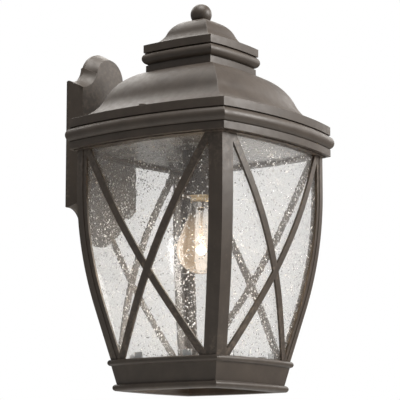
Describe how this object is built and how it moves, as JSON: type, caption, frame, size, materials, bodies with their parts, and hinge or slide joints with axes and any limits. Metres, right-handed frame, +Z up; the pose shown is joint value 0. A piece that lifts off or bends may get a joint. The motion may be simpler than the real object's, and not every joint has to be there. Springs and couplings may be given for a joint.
{
  "type": "outdoor wall lantern",
  "caption": "Wall lantern with an ogee roof and ball finial, a tapering bowed cage of seeded glass crossed by diagonal bars, one screw-in lamp and an arched wall plate.",
  "frame": {"origin": "centre of the wall plate, on the wall's face", "axes": "+Z up; +Y into the wall, so the lantern stands out along -Y; +X to the right seen from the room"},
  "size_m": [0.2708, 0.3014, 0.4859],
  "materials": {
    "bronze_paint": "satin, slightly textured dark bronze coat",
    "reflector": "bare, dull rolled sheet",
    "seeded_glass": "clear with many small seeds",
    "lamp_glass": "clear",
    "brass": "bright, drawn",
    "zinc_steel": "zinc plated",
    "porcelain": "glazed porcelain",
    "gasket_rubber": "matt closed-cell foam",
    "black_insulator": "black glass",
    "filament_wire": "drawn wire",
    "ground_green": "green dyed head"
  },
  "bodies": {
    "fixture": {"base_frame": "bronze_paint", "cage_top_ring": "bronze_paint", "glass_clips": "zinc_steel", "roof_shell": "bronze_paint", "cupola_collar": "bronze_paint", "cupola_cap": "bronze_paint", "centre_pipe": "zinc_steel", "pipe_nuts": "zinc_steel", "crossbar": "zinc_steel", "roof_screws": "bronze_paint", "ceiling_plate": "reflector", "ceiling_screws": "zinc_steel", "socket_cup": "bronze_paint", "lampholder": "porcelain", "holder_screw_shell": "brass", "centre_contact": "brass", "lampholder_yoke": "zinc_steel", "yoke_screws": "zinc_steel", "wall_gasket": "gasket_rubber", "wall_plate": "bronze_paint", "mounting_bracket": "zinc_steel", "plate_studs": "zinc_steel", "stud_lock_nuts": "zinc_steel", "plate_cap_nuts": "bronze_paint", "ground_screw": "ground_green", "roof_saddle": "bronze_paint", "saddle_back_screws": "zinc_steel", "saddle_roof_screws": "zinc_steel", "post_rear_right": "bronze_paint", "post_rear_left": "bronze_paint", "post_front_left": "bronze_paint", "post_front_right": "bronze_paint", "lattice_right_long_bar": "bronze_paint", "lattice_right_cut_bar": "bronze_paint", "glass_right": "seeded_glass", "lattice_rear_long_bar": "bronze_paint", "lattice_rear_cut_bar": "bronze_paint", "glass_rear": "seeded_glass", "lattice_left_long_bar": "bronze_paint", "lattice_left_cut_bar": "bronze_paint", "glass_left": "seeded_glass", "lattice_front_long_bar": "bronze_paint", "lattice_front_cut_bar": "bronze_paint", "glass_front": "seeded_glass"},
    "lamp_contact": {"lamp_tip_contact": "brass"},
    "lamp": {"lamp_glass": "lamp_glass", "lamp_base": "brass", "lamp_base_insulator": "black_insulator", "lamp_stem": "lamp_glass", "filament": "filament_wire", "filament_leads": "filament_wire"},
    "finial_seal": {"finial_washer": "gasket_rubber"},
    "finial": {"finial_ball": "bronze_paint"}
  },
  "joints": [
    {"name": "lamp_drop", "type": "slide", "parent": "fixture", "child": "lamp_contact", "axis": [0, 0, 1], "range_m": [-0.022, 0]},
    {"name": "lamp_turn", "type": "hinge", "parent": "lamp_contact", "child": "lamp", "pos_m": [0, -0.166, -0.07], "axis": [0, 0, 1], "range_deg": [-2160, 0]},
    {"name": "finial_lift", "type": "slide", "parent": "fixture", "child": "finial_seal", "axis": [0, 0, 1], "range_m": [0, 0.0095]},
    {"name": "finial_turn", "type": "hinge", "parent": "finial_seal", "child": "finial", "pos_m": [0, -0.166, 0.156], "axis": [0, 0, 1], "range_deg": [0, 3600]}
  ],
  "couplings": [
    {"joint": "lamp_drop", "follows": "lamp_turn", "m_per_rad": 0.000578},
    {"joint": "finial_lift", "follows": "finial_turn", "m_per_rad": 0.0001496}
  ]
}
